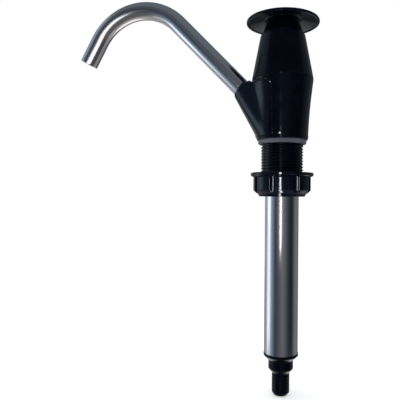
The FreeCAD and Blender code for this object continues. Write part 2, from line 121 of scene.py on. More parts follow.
def vectorNode(operation, first, second):
    node = addNode(first.tree, "ShaderNodeVectorMath", operation=operation)
    attach(node.inputs[0], first)
    attach(node.inputs["Scale" if operation == "SCALE" else 1], second)
    return Signal(node.outputs["Value" if operation == "DOT_PRODUCT" else 0])


def splitVector(vector):
    node = addNode(vector.tree, "ShaderNodeSeparateXYZ")
    attach(node.inputs[0], vector)
    return [Signal(socket) for socket in node.outputs]


def noiseOf(vector, scale, detail=2.0, roughness=0.5):
    node = feed(addNode(vector.tree, "ShaderNodeTexNoise"), Vector=vector, Scale=scale,
                Detail=detail, Roughness=roughness)
    return Signal(node.outputs["Fac"])


def spread(value, low, high, toLow=0.0, toHigh=1.0):
    node = addNode(value.tree, "ShaderNodeMapRange", interpolation_type="SMOOTHSTEP")
    feed(node, Value=value, From_Min=low, From_Max=high, To_Min=toLow, To_Max=toHigh)
    return Signal(node.outputs["Result"])


def mixColour(factor, first, second):
    node = addNode(factor.tree, "ShaderNodeMix", data_type="RGBA", clamp_factor=True)
    for key, value in (("Factor", factor), (6, first), (7, second)):
        attach(node.inputs[key], value)
    return Signal(node.outputs[2])


def attributeOf(tree, name, output):
    node = addNode(tree, "ShaderNodeAttribute", attribute_name=name)
    return Signal(node.outputs[output])


# shared effects and materials

def shaderGroup(name, floats, *outputs):
    # a group with a Vector, floats with their usual values, and float outputs
    tree = bpy.data.node_groups.new(name, "ShaderNodeTree")
    tree.interface.new_socket(name="Vector", in_out="INPUT", socket_type="NodeSocketVector")
    for label, value in floats.items():
        tree.interface.new_socket(name=label, in_out="INPUT",
                                  socket_type="NodeSocketFloat").default_value = value
    for label in outputs:
        tree.interface.new_socket(name=label, in_out="OUTPUT", socket_type="NodeSocketFloat")
    return tree, signals(addNode(tree, "NodeGroupInput")), addNode(tree, "NodeGroupOutput")


def makeScratches():
    # fine hairlines in two directions, broken up into short strokes
    tree, given, result = shaderGroup("hairScratches", {"Scale": 60.0, "Amount": 0.5}, "Mask")
    lines = []
    for turn, slant in ((0.5, (1.0, 9.0, 1.4)), (2.1, (8.0, 1.0, 1.7))):
        rotated = addNode(tree, "ShaderNodeVectorRotate", rotation_type="EULER_XYZ")
        feed(rotated, Vector=given["Vector"], Rotation=(turn, turn * 0.7, turn * 1.3))
        line = noiseOf(vectorNode("MULTIPLY", Signal(rotated.outputs[0]), slant),
                       given["Scale"], 0.0)
        thin = spread((line - 0.5).math("ABSOLUTE"), 0.0, 0.012, 1.0, 0.0)
        broken = noiseOf(given["Vector"], given["Scale"] * 0.6, 1.0)
        lines.append(thin * spread(broken, 0.52, 0.62))
    total = lines[0].math("MAXIMUM", lines[1])
    feed(result, Mask=total.math("MULTIPLY", given["Amount"], clamp=True))
    return tree


def makeDust():
    # pale dust that lies on faces that look up, in specks and a thin film
    tree, given, result = shaderGroup("settledDust", {"Scale": 900.0, "Amount": 0.3}, "Mask")
    normal = Signal(addNode(tree, "ShaderNodeNewGeometry").outputs["Normal"])
    up = spread(splitVector(normal)[2], 0.2, 0.95)
    speck = spread(noiseOf(given["Vector"], given["Scale"]), 0.58, 0.72)
    patch = spread(noiseOf(given["Vector"], given["Scale"] * 0.08, 3.0), 0.35, 0.75)
    lying = (speck * patch + patch * 0.35) * up
    feed(result, Mask=lying.math("MULTIPLY", given["Amount"], clamp=True))
    return tree


def makeRub():
    # wear where the piece's own "edge" attribute marks a corner, broken up by noise
    tree, given, result = shaderGroup(
        "edgeRub", {"Edge": 0.0, "Scale": 250.0, "Amount": 0.5}, "Mask")
    worn = given["Edge"] * spread(noiseOf(given["Vector"], given["Scale"], 4.0), 0.42, 0.62)
    feed(result, Mask=worn.math("MULTIPLY", given["Amount"], clamp=True))
    return tree


def makeUneven():
    # the slow waviness of a moulded or drawn skin, and its fine grain
    tree, given, result = shaderGroup(
        "skinUneven", {"Wave Scale": 60.0, "Grain Scale": 1500.0, "Grain Share": 0.1},
        "Height", "Cloud")
    wave = noiseOf(given["Vector"], given["Wave Scale"], 1.0)
    grain = noiseOf(given["Vector"], given["Grain Scale"])
    feed(result, Height=wave + grain * given["Grain Share"],
         Cloud=noiseOf(given["Vector"], given["Wave Scale"] * 2.5, 4.0))
    return tree


effects = {"scratch": makeScratches(), "dust": makeDust(), "rub": makeRub(),
           "uneven": makeUneven()}


def useEffect(name, vector, **values):
    node = addNode(vector.tree, "ShaderNodeGroup", node_tree=effects[name])
    return signals(feed(node, Vector=vector, **values))


def newMaterial(name):
    made = bpy.data.materials.new(name)
    made.use_nodes = True
    tree = made.node_tree
    tree.nodes.clear()
    skin = addNode(tree, "ShaderNodeBsdfPrincipled")
    attach(addNode(tree, "ShaderNodeOutputMaterial").inputs[0], Signal(skin.outputs[0]))
    return made, skin


def skinBasis(tree, look, grainScale, grainShare):
    # the object's own coordinates, its unevenness and its hairlines
    vector = Signal(addNode(tree, "ShaderNodeTexCoord").outputs["Object"])
    uneven = useEffect("uneven", vector, Wave_Scale=look.waveScale, Grain_Scale=grainScale,
                       Grain_Share=grainShare)
    hair = useEffect("scratch", vector, Scale=look.scratchScale, Amount=look.scratch)["Mask"]
    return vector, uneven, hair


def bumpOf(height, look):
    node = addNode(height.tree, "ShaderNodeBump")
    feed(node, Height=height, Strength=look.bump, Distance=look.bumpDistance)
    return Signal(node.outputs["Normal"])


def makePlastic(name, look):
    # moulded plastic: deep colour, gloss broken by waviness, hairlines, rubbed edges and dust
    made, skin = newMaterial(name)
    tree = made.node_tree
    vector, uneven, hair = skinBasis(tree, look, look.grainScale, look.grainShare)
    worn = useEffect("rub", vector, Edge=attributeOf(tree, "edge", "Fac"), Amount=look.rub)["Mask"]
    dust = useEffect("dust", vector, Amount=look.dust)["Mask"]
    tone = mixColour(spread(uneven["Cloud"], 0.3, 0.7), look.colour, look.shade)
    tone = mixColour(worn, tone, look.wornColour)
    rough = spread(uneven["Cloud"], 0.25, 0.75, look.gloss, look.gloss * 1.5)
    rough = rough + hair * 0.25 + worn * 0.2
    feed(skin, Base_Color=mixColour(dust, tone, look.dustColour),
         Roughness=rough.math("ADD", dust * 0.5, clamp=True),
         Normal=bumpOf(uneven["Height"] - hair * look.scratchDepth, look),
         Specular_IOR_Level=look.shine, Specular_Tint=look.shineTint)
    return made


def makeMetal(name, look, grainAttribute=None):
    # bright metal: fine lines along the tube, slight clouding, hairlines
    made, skin = newMaterial(name)
    tree = made.node_tree
    vector, uneven, hair = skinBasis(tree, look, look.fineScale, look.fineShare)
    along = attributeOf(tree, grainAttribute, "Vector") if grainAttribute else vector
    grain = noiseOf(vectorNode("MULTIPLY", along, look.grainStretch), look.grainScale, 3.0, 0.6)
    rough = spread(grain, 0.3, 0.7, look.gloss, look.gloss * 1.35)
    rough = rough + spread(uneven["Cloud"], 0.45, 0.8) * look.haze
    height = grain * look.grainHeight + uneven["Height"] - hair * 0.05
    feed(skin, Base_Color=mixColour(spread(grain, 0.3, 0.7), look.colour, look.shade),
         Roughness=rough.math("ADD", hair * 0.12, clamp=True), Normal=bumpOf(height, look),
         Metallic=1.0, Anisotropic=look.brushed)
    return made


blackLook = Settings(
    colour=(0.0008, 0.0012, 0.0034, 1), shade=(0.0012, 0.0019, 0.0052, 1),
    wornColour=(0.010, 0.012, 0.018, 1), dustColour=(0.12, 0.12, 0.13, 1),
    shineTint=(0.62, 0.80, 1.0, 1.0), gloss=0.085, shine=0.24, rub=0.55, dust=0.10,
    waveScale=55.0, grainScale=1600.0, grainShare=0.06, scratchScale=70.0, scratch=0.55,
    scratchDepth=0.05, bump=0.35, bumpDistance=0.0006)
threadLook = Settings(blackLook, gloss=0.16, scratch=0.3, rub=0.3, bump=0.25, dust=0.1)
gasketLook = Settings(
    blackLook, colour=(0.118, 0.122, 0.150, 1), shade=(0.088, 0.092, 0.115, 1),
    wornColour=(0.20, 0.205, 0.23, 1), dustColour=(0.3, 0.3, 0.31, 1),
    gloss=0.42, shine=0.4, grainShare=0.35, grainScale=2600.0, bump=0.6, dust=0.3, scratch=0.2)
sealLook = Settings(
    blackLook, colour=(0.010, 0.010, 0.011, 1), shade=(0.016, 0.016, 0.017, 1),
    gloss=0.45, shine=0.35, grainShare=0.4, grainScale=2600.0, bump=0.5)
acetalLook = Settings(
    blackLook, colour=(0.72, 0.71, 0.66, 1), shade=(0.66, 0.65, 0.60, 1),
    wornColour=(0.8, 0.8, 0.78, 1), dustColour=(0.6, 0.6, 0.58, 1), gloss=0.28, shine=0.45,
    dust=0.1, scratch=0.3, bump=0.2)
barrelLook = Settings(
    colour=(0.76, 0.76, 0.78, 1), shade=(0.70, 0.70, 0.72, 1), gloss=0.155, haze=0.03,
    brushed=0.70, grainStretch=(1.0, 1.0, 0.012), grainScale=900.0, grainHeight=0.10,
    fineScale=2200.0, fineShare=0.05,
    waveScale=25.0, scratchScale=60.0, scratch=0.35, bump=0.10, bumpDistance=0.0006)
spoutLook = Settings(barrelLook, gloss=0.18, brushed=0.0, grainHeight=0.04, bump=0.03)
steelLook = Settings(barrelLook, gloss=0.16, grainStretch=(0.03, 0.03, 1.0))

blackPlastic = makePlastic("blackPlastic", blackLook)
threadPlastic = makePlastic("threadPlastic", threadLook)
greyRubber = makePlastic("greyRubber", gasketLook)
blackRubber = makePlastic("blackRubber", sealLook)
whiteAcetal = makePlastic("whiteAcetal", acetalLook)
barrelChrome = makeMetal("barrelChrome", barrelLook)
spoutChrome = makeMetal("spoutChrome", spoutLook, "tubeWay")
turnedSteel = makeMetal("turnedSteel", steelLook)
print("stage: materials made")


# mesh helpers

def placed(name, data):
    made = bpy.data.objects.new(name, data)
    bpy.context.scene.collection.objects.link(made)
    return made


def roundedLine(corners, steps):
    # a half section of (radius, height, round) corners as points, each with its share of an edge
    widest = 3.0  # wider rounds don't wear
    points = [np.array(c[:2], float) for c in corners]
    rounds = [c[2] if len(c) > 2 else 0.0 for c in corners]
    area = sum(a[0] * b[1] - b[0] * a[1] for a, b in zip(points, points[1:] + points[:1]))
    if area < 0:
        points.reverse()
        rounds.reverse()
    line, edge = [], []
    for i, here in enumerate(points):
        if not rounds[i]:
            line.append(here)
            edge.append(0.0)
            continue
        back = points[i - 1] - here
        ahead = points[(i + 1) % len(points)] - here
        back /= np.linalg.norm(back)
        ahead /= np.linalg.norm(ahead)
        half = math.acos(max(-1.0, min(1.0, float(back @ ahead)))) / 2
        reach = rounds[i] / math.tan(half)
        middle = (back + ahead) / np.linalg.norm(back + ahead)
        centre = here + middle * rounds[i] / math.sin(half)
        first = here + back * reach - centre
        last = here + ahead * reach - centre
        bulge = back[0] * ahead[1] - back[1] * ahead[0] < 0
        sweep = math.pi - 2 * half
        for k in range(steps + 1):
            share = k / steps
            arm = (first * math.sin((1 - share) * sweep) + last * math.sin(share * sweep))
            line.append(centre + arm / math.sin(sweep))
            edge.append(math.sin(share * math.pi) if bulge and rounds[i] < widest else 0.0)
    return np.array(line), np.array(edge)


def meshObject(name, verts, faces, material, edge=None):
    mesh = bpy.data.meshes.new(name)
    mesh.from_pydata([tuple(v) for v in verts], [], faces)
    mesh.polygons.foreach_set("use_smooth", [True] * len(mesh.polygons))
    if edge is not None:
        mesh.attributes.new("edge", "FLOAT", "POINT").data.foreach_set(
            "value", np.asarray(edge, np.float32))
    mesh.materials.append(material)
    mesh.update()
    return placed(name, mesh)


def turnedPiece(name, corners, material, segments=144, steps=6, rowGap=None):
    # a half section turned about Z; rowGap cuts long runs into rows
    line, edge = roundedLine(corners, steps)
    if rowGap:
        points, marks = [], []
        for k in range(len(line)):
            a, b = line[k], line[(k + 1) % len(line)]
            onAxis = a[0] < tiny and b[0] < tiny
            cuts = 1 if onAxis else max(1, int(np.linalg.norm(b - a) / rowGap))
            for c in range(cuts):
                points.append(a + (b - a) * c / cuts)
                marks.append(edge[k] if c == 0 else 0.0)
        line, edge = np.array(points), np.array(marks)
    turn = np.arange(segments) * 2 * math.pi / segments
    verts, marks, rings = [], [], []
    for (radius, height), mark in zip(line * mm, edge):
        count = 1 if radius < tiny else segments
        rings.append(range(len(verts), len(verts) + count))
        for t in turn[:count]:
            verts.append((radius * math.cos(t), radius * math.sin(t), height))
            marks.append(mark)
    faces = []
    for k, low in enumerate(rings):
        high = rings[(k + 1) % len(rings)]
        if len(low) == 1 and len(high) == 1:
            continue
        for i in range(segments):
            j = (i + 1) % segments
            face = [low[i % len(low)], low[j % len(low)], high[j % len(high)], high[i % len(high)]]
            faces.append(tuple(dict.fromkeys(face)))
    made = meshObject(name, verts, faces, material, marks)
    made.data.set_sharp_from_angle(angle=math.radians(32))
    return made


def keepFlat(piece):
    # flat runs keep their own normal beside a rounded corner
    change = piece.modifiers.new("weighted", "WEIGHTED_NORMAL")
    change.keep_sharp = True
    change.weight = 80
    return freeze(piece)


def freeze(piece):
    # the evaluated mesh becomes the piece's own mesh
    bpy.context.view_layer.update()
    graph = bpy.context.evaluated_depsgraph_get()
    mesh = bpy.data.meshes.new_from_object(
        piece.evaluated_get(graph), preserve_all_data_layers=True, depsgraph=graph)
    mesh.name = piece.name
    piece.modifiers.clear()
    piece.data = mesh
    return piece


def dress(piece, body, slot, *nodes):
    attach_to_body(piece, body)
    if nodes:
        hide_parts(*nodes)
    return piece


# Geometry Nodes helpers

def geometryTree(name, floats, others=()):
    tree = bpy.data.node_groups.new(name, "GeometryNodeTree")
    for label, kind in (("Geometry", "Geometry"), *((label, "Float") for label in floats),
                        *others, ("Material", "Material")):
        tree.interface.new_socket(name=label, in_out="INPUT", socket_type="NodeSocket" + kind)
    tree.interface.new_socket(name="Geometry", in_out="OUTPUT", socket_type="NodeSocketGeometry")
    return tree, signals(addNode(tree, "NodeGroupInput"))


def closeTree(given, geometry):
    tree = geometry.tree
    whole = feed(addNode(tree, "GeometryNodeRealizeInstances"), Geometry=geometry)
    paint = feed(addNode(tree, "GeometryNodeSetMaterial"), Geometry=Signal(whole.outputs[0]),
                 Material=given["Material"])
    feed(addNode(tree, "NodeGroupOutput"), Geometry=Signal(paint.outputs[0]))
    return tree


def applyTree(piece, tree, **values):
    # an underscore stands for a space in an input's name
    change = piece.modifiers.new(tree.name, "NODES")
    change.node_group = tree
    for item in tree.interface.items_tree:
        label = item.name.replace(" ", "_")
        if item.in_out == "INPUT" and label in values:
            change[item.identifier] = values[label]
    return freeze(piece)


def movedTo(geometry, position):
    setter = feed(addNode(geometry.tree, "GeometryNodeSetPosition"), Geometry=geometry,
                  Position=position)
    return Signal(setter.outputs[0])


def polarPlace(tree):
    # height, angle about Z and distance from Z
    x, y, z = splitVector(Signal(addNode(tree, "GeometryNodeInputPosition").outputs[0]))
    return z, y.math("ARCTAN2", x), (x * x + y * y).math("SQRT")


def moveToRadius(geometry, z, turn, radius):
    joined = feed(addNode(geometry.tree, "ShaderNodeCombineXYZ"), X=radius * turn.math("COSINE"),
                  Y=radius * turn.math("SINE"), Z=z)
    return movedTo(geometry, Signal(joined.outputs[0]))


def makeThreadTree():
    # raises a right-handed ridge on the plain outside of a shank
    tree, given = geometryTree("screwThread", (
        "Pitch", "Root Radius", "Depth", "Root Width", "Crest Width", "First Thread",
        "Run Out", "Lowest"))
    z, turn, radius = polarPlace(tree)
    pitch, first, lowest = given["Pitch"], given["First Thread"], given["Lowest"]
    skin = 0.0001
    phase = (z - first) / pitch - turn / (2 * math.pi)
    off = (phase - phase.math("ROUND")).math("ABSOLUTE") * pitch
    flank = spread(off, given["Crest Width"] * 0.5, given["Root Width"] * 0.5, 1.0, 0.0)
    ends = spread(z, first + pitch, first) * spread(z, lowest, lowest + given["Run Out"])
    outside = radius.math("GREATER_THAN", given["Root Radius"] - skin)
    lift = flank * ends * outside * given["Depth"]
    return closeTree(given, moveToRadius(given["Geometry"], z, turn, radius + lift))


def makeLobeTree():
    # sinks round-bottomed grooves between the lobes of a turned blank
    tree, given = geometryTree("gripLobes", (
        "Lobes", "First Lobe", "Cutter Radius", "Cutter Place", "Softness", "Inside", "Foot"))
    z, turn, radius = polarPlace(tree)
    clear, footBlend = 0.02, 0.0004
    share = 2 * math.pi / given["Lobes"]
    steps = (turn - given["First Lobe"]) / share - 0.5
    off = (steps - steps.math("ROUND")) * share
    side = given["Cutter Place"] * off.math("SINE")
    square = given["Cutter Radius"] * given["Cutter Radius"] - side * side
    groove = given["Cutter Place"] * off.math("COSINE") - square.math("MAXIMUM", 0.0).math("SQRT")
    groove = groove + (1.0 - square.math("GREATER_THAN", 0.0)) * clear
    cut = radius.math("SMOOTH_MIN", groove, given["Softness"]) - radius
    use = spread(z, given["Foot"], given["Foot"] + footBlend)
    use = use * radius.math("GREATER_THAN", given["Inside"])
    return closeTree(given, moveToRadius(given["Geometry"], z, turn, radius + cut * use))


def makePathTree():
    # bends a piece that stands on Z so that its Z runs along a path; Side stays level
    tree, given = geometryTree("followPath", (), (("Path", "Object"), ("Side", "Vector")))
    place = Signal(addNode(tree, "GeometryNodeInputPosition").outputs[0])
    x, y, z = splitVector(place)
    path = signals(feed(addNode(tree, "GeometryNodeObjectInfo"), Object=given["Path"]))["Geometry"]
    sample = signals(feed(addNode(
        tree, "GeometryNodeSampleCurve", mode="LENGTH", use_all_curves=True),
        Curves=path, Length=z))
    across = vectorNode("CROSS_PRODUCT", given["Side"], sample["Tangent"])
    total = sample["Position"]
    for way, length in ((across, x), (given["Side"], y)):
        total = vectorNode("ADD", total, vectorNode("SCALE", way, length))
    store = feed(addNode(tree, "GeometryNodeStoreNamedAttribute", data_type="FLOAT_VECTOR",
                         domain="POINT"), Geometry=given["Geometry"], Name="tubeWay", Value=place)
    return closeTree(given, movedTo(Signal(store.outputs[0]), total))


threadTree = makeThreadTree()
lobeTree = makeLobeTree()
pathTree = makePathTree()


# spout
spout = Settings(
    mouthOut=35.4, mouthHeight=49.5, riseAngle=45.7, dropAngle=60.2,
    socketDepth=19.9, riseLength=85.8, bendRadius=50.0, bendSteps=120, tipLength=23.5,
    radius=7.95, bore=6.75, tipRound=0.45, endGap=0.001, segments=96, rowGap=1.4)


def spoutLine(size):
    # the way in which the spout rises, and the middle of its mouth
    rise = math.radians(size.riseAngle)
    return (np.array([-math.cos(rise), 0, math.sin(rise)]),
            np.array([-size.mouthOut, 0, size.mouthHeight]))


def makeSpout(size):
    way, mouth = map(Vector, spoutLine(size))
    up = Vector((way.z, 0, -way.x))
    drop = math.radians(size.dropAngle)
    sweep = math.radians(size.riseAngle) + drop
    centre = mouth + way * size.riseLength - up * size.bendRadius
    points = [mouth - way * size.socketDepth, mouth + way * size.riseLength]
    for k in range(1, size.bendSteps + 1):
        turn = sweep * k / size.bendSteps
        arm = up * math.cos(turn) + way * math.sin(turn)
        points.append(centre + arm * size.bendRadius)
    tipWay = Vector((-math.cos(drop), 0, -math.sin(drop)))
    points.append(points[-1] + tipWay * size.tipLength)
    curve = bpy.data.curves.new("spoutPath", "CURVE")
    curve.dimensions = "3D"
    spline = curve.splines.new("POLY")
    spline.points.add(len(points) - 1)
    for target, point in zip(spline.points, points):
        target.co = (*(point * mm), 1)
    path = placed("spoutPath", curve)
    whole = size.socketDepth + size.riseLength + size.bendRadius * sweep + size.tipLength
    foot, tip = size.endGap, whole - 2 * size.endGap
    piece = turnedPiece("spoutTube", [
        (size.bore, foot), (size.radius, foot),
        (size.radius, tip, size.tipRound), (size.bore, tip, size.tipRound),
    ], spoutChrome, size.segments, 4, size.rowGap)
    applyTree(piece, pathTree, Path=path, Side=(0.0, 1.0, 0.0), Material=spoutChrome)
    bpy.data.objects.remove(path)
    return dress(piece, "pump_body", "chrome_tube", "spout_tube")


makeSpout(spout)
print("stage: spout made")


# barrel and foot
barrel = Settings(radius=14.3, bore=13.3, top=13.9, foot=-176.0)
dress(keepFlat(turnedPiece("barrelTube", [
    (barrel.bore, barrel.foot), (barrel.radius, barrel.foot, 0.25),
    (barrel.radius, barrel.top, 0.25), (barrel.bore, barrel.top),
], barrelChrome, 192)), "pump_body", "chrome_tube", "barrel_tube")

foot = Settings(
    lipRadius=14.65, lipTop=-176.1, lipFoot=-178.1, coneFoot=-182.25,
    bodyRadius=10.5, bodyFoot=-189.4, spigotTop=-193.0, spigotRadius=7.5,
    spigotFoot=-211.6, chamfer=1.4, chamferLength=2.4, bore=5.0, boreTop=-178.0,
    plugRadius=13.25, plugLip=2.0, cupRadius=10.5, cupDepth=2.4, cupFoot=-172.5,
    ridges=5, ridgeStart=1.4, ridgeGap=2.6, ridgeWidth=1.0, ridgeHeight=0.22)


def makeFoot(size):
    outer = [
        (size.bore, size.spigotFoot, 0.3),
        (size.spigotRadius - size.chamfer, size.spigotFoot, 0.4),
        (size.spigotRadius, size.spigotFoot + size.chamferLength, 1.0),
    ]
    # shallow moulded rings that grip the hose, with a groove in each
    place = size.spigotFoot + size.chamferLength + size.ridgeStart
    for i in range(size.ridges):
        outer += [(size.spigotRadius, place, 0.15),
                  (size.spigotRadius - size.ridgeHeight, place + size.ridgeWidth / 2, 0.3),
                  (size.spigotRadius, place + size.ridgeWidth, 0.15)]
        place += size.ridgeGap
    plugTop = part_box("foot_cap")[1].z / mm
    outer += [
        (size.spigotRadius, size.spigotTop, 1.0),
        (size.bodyRadius, size.bodyFoot, 0.5), (size.bodyRadius, size.coneFoot, 0.8),
        (size.lipRadius, size.lipFoot, 0.5), (size.lipRadius, size.lipTop, 0.3),
        (size.plugRadius, size.lipTop, 0.1), (size.plugRadius, plugTop, 0.4),
        (size.plugRadius - size.plugLip, plugTop), (size.cupRadius, plugTop - size.cupDepth),
        (size.cupRadius, size.cupFoot), (size.bore, size.boreTop),
    ]
    return dress(keepFlat(turnedPiece("footCap", outer, blackPlastic, 128)),
                 "pump_body", "black_plastic", "foot_cap")


makeFoot(foot)
print("stage: barrel and foot made")


# threaded shank, gasket, washer and nut
thread = Settings(
    pitch=2.54, rootRadius=16.9, depth=0.93, rootWidth=1.9, crestWidth=0.7,
    firstThread=-1.3, lowest=-41.2, runOut=1.6, neckRadius=17.8, neckTop=5.0, length=42.0,
    bore=14.35, rowGap=0.17)
shank = turnedPiece("threadedShank", [
    (thread.bore, -thread.length), (thread.rootRadius, -thread.length, 0.4),
    (thread.rootRadius, 0.0), (thread.neckRadius, 0.0), (thread.neckRadius, thread.neckTop),
    (thread.bore, thread.neckTop),
], threadPlastic, 128, 3, thread.rowGap)
applyTree(
    shank, threadTree, Pitch=thread.pitch * mm, Root_Radius=thread.rootRadius * mm,
    Depth=thread.depth * mm, Root_Width=thread.rootWidth * mm,
    Crest_Width=thread.crestWidth * mm, First_Thread=thread.firstThread * mm,
    Run_Out=thread.runOut * mm, Lowest=thread.lowest * mm, Material=threadPlastic)
dress(shank, "pump_body", "black_plastic", "head_body")

gasket = Settings(bore=17.95, radius=20.5, height=4.0, foot=0.3)
dress(keepFlat(turnedPiece("deckGasket", [
    (gasket.bore, gasket.foot), (gasket.radius, gasket.foot, 1.4),
    (gasket.radius, gasket.height, 0.5), (gasket.bore, gasket.height),
], greyRubber, 144)), "pump_body", "gasket_rubber", "deck_gasket")

washer = Settings(
    bore=17.95, radius=26.6, top=-23.8, thickness=3.4, seatRadius=24.9, seatHeight=1.0)
washerFoot = washer.top - washer.thickness
dress(keepFlat(turnedPiece("clampWasher", [
    (washer.bore, washerFoot), (washer.seatRadius, washerFoot, 0.6),
    (washer.radius, washerFoot + washer.seatHeight, 0.7), (washer.radius, washer.top, 0.7),
    (washer.bore, washer.top),
], blackPlastic, 144)), "clamp_washer", "black_plastic", "clamp_washer")

nut = Settings(
    bore=16.7, top=-27.3, height=16.6, radius=24.3, coreRadius=20.6,
    chamferHeight=2.6, chamferDepth=2.9, footHeight=2.6, footRadius=19.2,
    lobes=8, grooveAngle=15.0, grooveDepth=2.2, firstLobe=-75.0, softness=0.9,
    inside=18.5, rowGap=0.8)


def makeNut(size):
    low = size.top - size.height
    edge = low + size.footHeight
    piece = turnedPiece("mountingNut", [
        (size.bore, low), (size.footRadius, low, 0.5), (size.coreRadius, edge, 0.2),
        (size.radius - size.chamferDepth, edge, 0.5),
        (size.radius, edge + size.chamferHeight, 1.2),
        (size.radius, size.top, 0.7), (size.bore, size.top),
    ], blackPlastic, 288, 6, size.rowGap)
    halfChord = size.radius * math.sin(math.radians(size.grooveAngle / 2))
    depth = size.grooveDepth
    cutter = (halfChord ** 2 + depth ** 2) / (2 * depth)
    applyTree(
        piece, lobeTree, Lobes=float(size.lobes), First_Lobe=math.radians(size.firstLobe),
        Cutter_Radius=cutter * mm, Cutter_Place=(size.radius - depth + cutter) * mm,
        Softness=size.softness * mm, Inside=size.inside * mm, Foot=edge * mm,
        Material=blackPlastic)
    return dress(piece, "mounting_nut", "black_plastic", "mounting_nut")


makeNut(nut)
print("stage: shank, gasket, washer and nut made")


# head cap, knob and plug
capTop = Settings(
    seam=55.4, seamRadius=26.1, top=93.0, topRadius=18.9, topRound=1.3, recess=20.1,
    ceiling=78.0, collarTop=66.1, chamber=17.0, ceilingRadius=12.5,
    bushingBore=8.05, bushingTop=91.0, lipBore=4.6)
dress(keepFlat(turnedPiece("headCap", [
    (capTop.recess, capTop.seam), (capTop.seamRadius, capTop.seam, 0.45),
    (capTop.topRadius, capTop.top, capTop.topRound), (capTop.lipBore, capTop.top, 0.2),
    (capTop.lipBore, capTop.bushingTop), (capTop.bushingBore, capTop.bushingTop),
    (capTop.bushingBore, capTop.ceiling), (capTop.ceilingRadius, capTop.ceiling),
    (capTop.chamber, capTop.collarTop), (capTop.recess, capTop.collarTop),
], blackPlastic, 192, 8)), "pump_body", "black_plastic", "head_cap")

knob = Settings(
    neckFoot=93.3, neckBase=17.5, neckTop=13.5, dishTop=107.0, rimFoot=102.7,
    rimTop=105.1, rim=31.0, rimRound=1.1, lip=2.0, lipHeight=0.7, lipSlope=0.6,
    brow=4.0, browRise=0.7, browRound=8.0, crown=112.1, crownRadius=11.4, plugBore=10.65,
    plugSeat=109.9, headHole=4.9, webTop=106.3, screwHole=2.6, socketTop=103.9,
    socket=4.05, boss=7.2, hollowTop=99.3, hollowLow=14.3, hollowHigh=12.4)
dress(keepFlat(turnedPiece("knobBody", [
    (knob.socket, knob.neckFoot), (knob.boss, knob.neckFoot, 0.2),
    (knob.boss, knob.hollowTop, 0.8), (knob.hollowHigh, knob.hollowTop, 0.8),
    (knob.hollowLow, knob.neckFoot, 0.2), (knob.neckBase, knob.neckFoot, 0.4),
    (knob.neckTop, knob.dishTop, 1.5),
    (knob.rim - knob.lip - knob.lipSlope, knob.rimFoot + knob.lipHeight, 0.5),
    (knob.rim - knob.lip, knob.rimFoot, 0.3),
    (knob.rim, knob.rimFoot, knob.rimRound),
    (knob.rim, knob.rimTop, knob.rimRound),
    (knob.rim - knob.brow, knob.rimTop + knob.browRise, knob.browRound),
    (knob.crownRadius, knob.crown, 0.5), (knob.plugBore, knob.crown, 0.15),
    (knob.plugBore, knob.plugSeat), (knob.headHole, knob.plugSeat),
    (knob.headHole, knob.webTop), (knob.screwHole, knob.webTop),
    (knob.screwHole, knob.socketTop), (knob.socket, knob.socketTop),
], blackPlastic, 192, 8)), "handle", "black_plastic", "knob")

plug = Settings(radius=10.6, foot=110.0, edge=112.6, apex=114.5, rings=10)


def makePlug(size):
    rise = size.apex - size.edge
    ball = (size.radius ** 2 + rise ** 2) / (2 * rise)
    corners = [(0, size.foot), (size.radius, size.foot), (size.radius, size.edge, 0.3)]
    for i in range(1, size.rings + 1):
        out = size.radius * (1 - i / size.rings)
        corners.append((out, size.apex - ball + math.sqrt(ball ** 2 - out ** 2)))
    return dress(turnedPiece("knobPlug", corners, blackPlastic, 128),
                 "handle", "black_plastic", "knob_plug")


makePlug(plug)
print("stage: cap, knob and plug made")


# head: a fan of planes, its walls, bounds the branch, and the saddle is the panel beside it
head = Settings(
    base=4.0, baseRadius=21.6, waist=30.0, waistRadius=23.1, seam=55.3, seamRadius=26.1,
    flankBlend=0.6, flankLean=0.996, edgeRound=0.5,
    beadHeight=0.35, beadPlace=6.6, beadWidth=1.3,
    mouthRadius=9.65, fillet=2.2, wallFan=74, wallCount=75, wallLean=89.0, halvings=40,
    ringMargin=0.5, wallBlend=0.25, wallInset=0.45, wallBite=0.2, wedgeFrom=-2.0,
    wedgeBack=-8.0, backBlend=1.0, farOut=50.0, topFlat=-24.0, topSlope=1.1, topBlend=0.8,
    saddleLow=7.0, saddleHigh=51.6, saddleAngle=77.0, saddleSkin=0.7, saddleEdge=0.9,
    saddleBlend=0.6, cornerRound=5.0, footBlend=0.2,
    low=(-44.5, -27.5, 2.5), high=(27.5, 27.5, 59.5), cell=0.55, sharpAngle=38,
    chamber=17.0, chamberFloor=20.0, voidTop=70.0, throat=13.3, barrelSeat=14.0,
    barrelSocket=14.35, spoutSocket=8.0, socketDepth=20.0, socketChamfer=0.8)


def softMax(a, b, k):
    share = np.clip(0.5 + 0.5 * (a - b) / k, 0, 1)
    return b + (a - b) * share + k * share * (1 - share)


def softMin(a, b, k):
    return -softMax(-a, -b, k)


def flankRadius(size, z):
    # the side's radius, its two straight runs blended over a few millimetres
    low = (size.waistRadius - size.baseRadius) / (size.waist - size.base)
    high = (size.seamRadius - size.waistRadius) / (size.seam - size.waist)
    up = z - size.waist
    return softMax(size.waistRadius + up * low, size.waistRadius + up * high, size.flankBlend)


